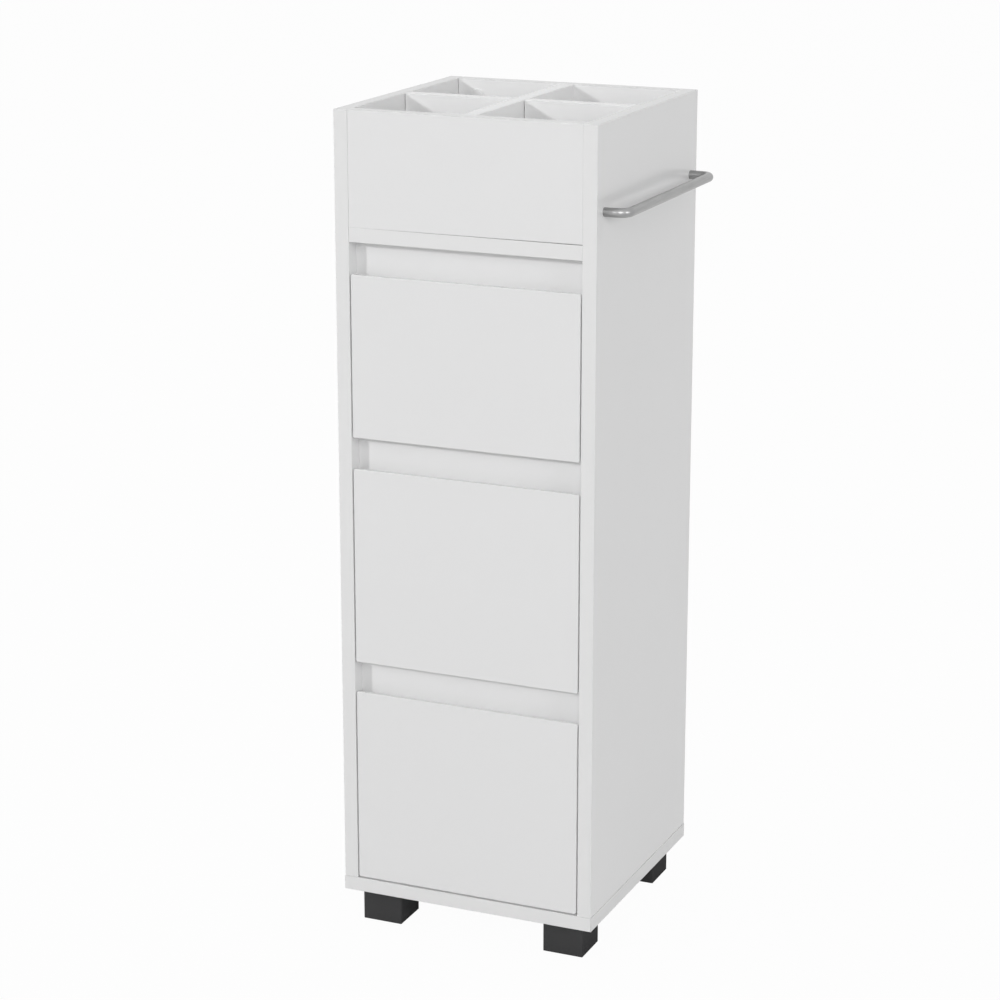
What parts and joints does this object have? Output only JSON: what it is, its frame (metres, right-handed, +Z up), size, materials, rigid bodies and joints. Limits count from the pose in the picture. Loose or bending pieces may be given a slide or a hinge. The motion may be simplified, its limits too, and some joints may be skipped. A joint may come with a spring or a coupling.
{
  "type": "bathroom storage tower",
  "caption": "Narrow white storage tower: open divided tray over inset drawers with finger gaps, block feet and a side towel rail.",
  "frame": {"origin": "on the floor, at the centre of the whole footprint with the towel rail included", "axes": "+X towards the towel rail, +Y towards the back, +Z up; the drawers open towards -Y"},
  "size_m": [0.33, 0.3, 0.928],
  "materials": {
    "white_board": "semi-gloss white laminate on particle board",
    "hardboard": "white painted hardboard",
    "foot_plastic": "matte black moulded plastic",
    "bar_steel": "satin",
    "runner_steel": "white powder coat",
    "roller_plastic": "smooth white plastic",
    "fitting_zinc": "bright zinc plate",
    "cap_plastic": "white plastic",
    "dowel_wood": "plain beech"
  },
  "bodies": {
    "carcass": {"side_panel_left": "white_board", "side_panel_right": "white_board", "base_panel": "white_board", "tray_shelf": "white_board", "tray_front": "white_board", "tray_back": "white_board", "divider_across": "white_board", "divider_front_to_back": "white_board", "back_panel": "hardboard", "grip_rail_top": "white_board", "grip_rail_middle": "white_board", "grip_rail_lower": "white_board", "foot_front_left": "foot_plastic", "foot_front_right": "foot_plastic", "foot_rear_left": "foot_plastic", "foot_rear_right": "foot_plastic", "towel_rail": "bar_steel", "towel_rail_screws": "fitting_zinc", "foot_screws": "fitting_zinc", "base_screws": "fitting_zinc", "runner_screws": "fitting_zinc", "cam_locks": "fitting_zinc", "cam_bolts": "fitting_zinc", "cam_caps": "cap_plastic", "dowels": "dowel_wood", "cabinet_runners_top": "runner_steel", "cabinet_runners_middle": "runner_steel", "cabinet_runners_lower": "runner_steel"},
    "drawer_top": {"drawer_top_front": "white_board", "drawer_top_side_left": "white_board", "drawer_top_side_right": "white_board", "drawer_top_back": "white_board", "drawer_top_bottom": "hardboard", "drawer_top_runners": "runner_steel", "drawer_top_cams": "fitting_zinc", "drawer_top_screws": "fitting_zinc"},
    "cabinet_rollers_top": {"cabinet_rollers_top": "roller_plastic"},
    "drawer_rollers_top": {"drawer_top_rollers": "roller_plastic"},
    "drawer_middle": {"drawer_middle_front": "white_board", "drawer_middle_side_left": "white_board", "drawer_middle_side_right": "white_board", "drawer_middle_back": "white_board", "drawer_middle_bottom": "hardboard", "drawer_middle_runners": "runner_steel", "drawer_middle_cams": "fitting_zinc", "drawer_middle_screws": "fitting_zinc"},
    "cabinet_rollers_middle": {"cabinet_rollers_middle": "roller_plastic"},
    "drawer_rollers_middle": {"drawer_middle_rollers": "roller_plastic"},
    "drawer_lower": {"drawer_lower_front": "white_board", "drawer_lower_side_left": "white_board", "drawer_lower_side_right": "white_board", "drawer_lower_back": "white_board", "drawer_lower_bottom": "hardboard", "drawer_lower_runners": "runner_steel", "drawer_lower_cams": "fitting_zinc", "drawer_lower_screws": "fitting_zinc"},
    "cabinet_rollers_lower": {"cabinet_rollers_lower": "roller_plastic"},
    "drawer_rollers_lower": {"drawer_lower_rollers": "roller_plastic"}
  },
  "joints": [
    {"name": "drawer_top_slide", "type": "slide", "parent": "carcass", "child": "drawer_top", "axis": [0, -1, 0], "range_m": [0, 0.19]},
    {"name": "drawer_middle_slide", "type": "slide", "parent": "carcass", "child": "drawer_middle", "axis": [0, -1, 0], "range_m": [0, 0.19]},
    {"name": "drawer_lower_slide", "type": "slide", "parent": "carcass", "child": "drawer_lower", "axis": [0, -1, 0], "range_m": [0, 0.19]},
    {"name": "cabinet_rollers_top_spin", "type": "hinge", "parent": "carcass", "child": "cabinet_rollers_top", "pos_m": [-0.015, -0.12, 0.5928], "axis": [1, 0, 0], "continuous": true},
    {"name": "drawer_rollers_top_spin", "type": "hinge", "parent": "drawer_top", "child": "drawer_rollers_top", "pos_m": [-0.015, 0.087, 0.5943], "axis": [1, 0, 0], "continuous": true},
    {"name": "cabinet_rollers_middle_spin", "type": "hinge", "parent": "carcass", "child": "cabinet_rollers_middle", "pos_m": [-0.015, -0.12, 0.3358], "axis": [1, 0, 0], "continuous": true},
    {"name": "drawer_rollers_middle_spin", "type": "hinge", "parent": "drawer_middle", "child": "drawer_rollers_middle", "pos_m": [-0.015, 0.087, 0.3373], "axis": [1, 0, 0], "continuous": true},
    {"name": "cabinet_rollers_lower_spin", "type": "hinge", "parent": "carcass", "child": "cabinet_rollers_lower", "pos_m": [-0.015, -0.12, 0.0788], "axis": [1, 0, 0], "continuous": true},
    {"name": "drawer_rollers_lower_spin", "type": "hinge", "parent": "drawer_lower", "child": "drawer_rollers_lower", "pos_m": [-0.015, 0.087, 0.0803], "axis": [1, 0, 0], "continuous": true}
  ],
  "couplings": [
    {"joint": "cabinet_rollers_top_spin", "follows": "drawer_top_slide", "rad_per_m": 125},
    {"joint": "drawer_rollers_top_spin", "follows": "drawer_top_slide", "rad_per_m": 125},
    {"joint": "cabinet_rollers_middle_spin", "follows": "drawer_middle_slide", "rad_per_m": 125},
    {"joint": "drawer_rollers_middle_spin", "follows": "drawer_middle_slide", "rad_per_m": 125},
    {"joint": "cabinet_rollers_lower_spin", "follows": "drawer_lower_slide", "rad_per_m": 125},
    {"joint": "drawer_rollers_lower_spin", "follows": "drawer_lower_slide", "rad_per_m": 125}
  ]
}
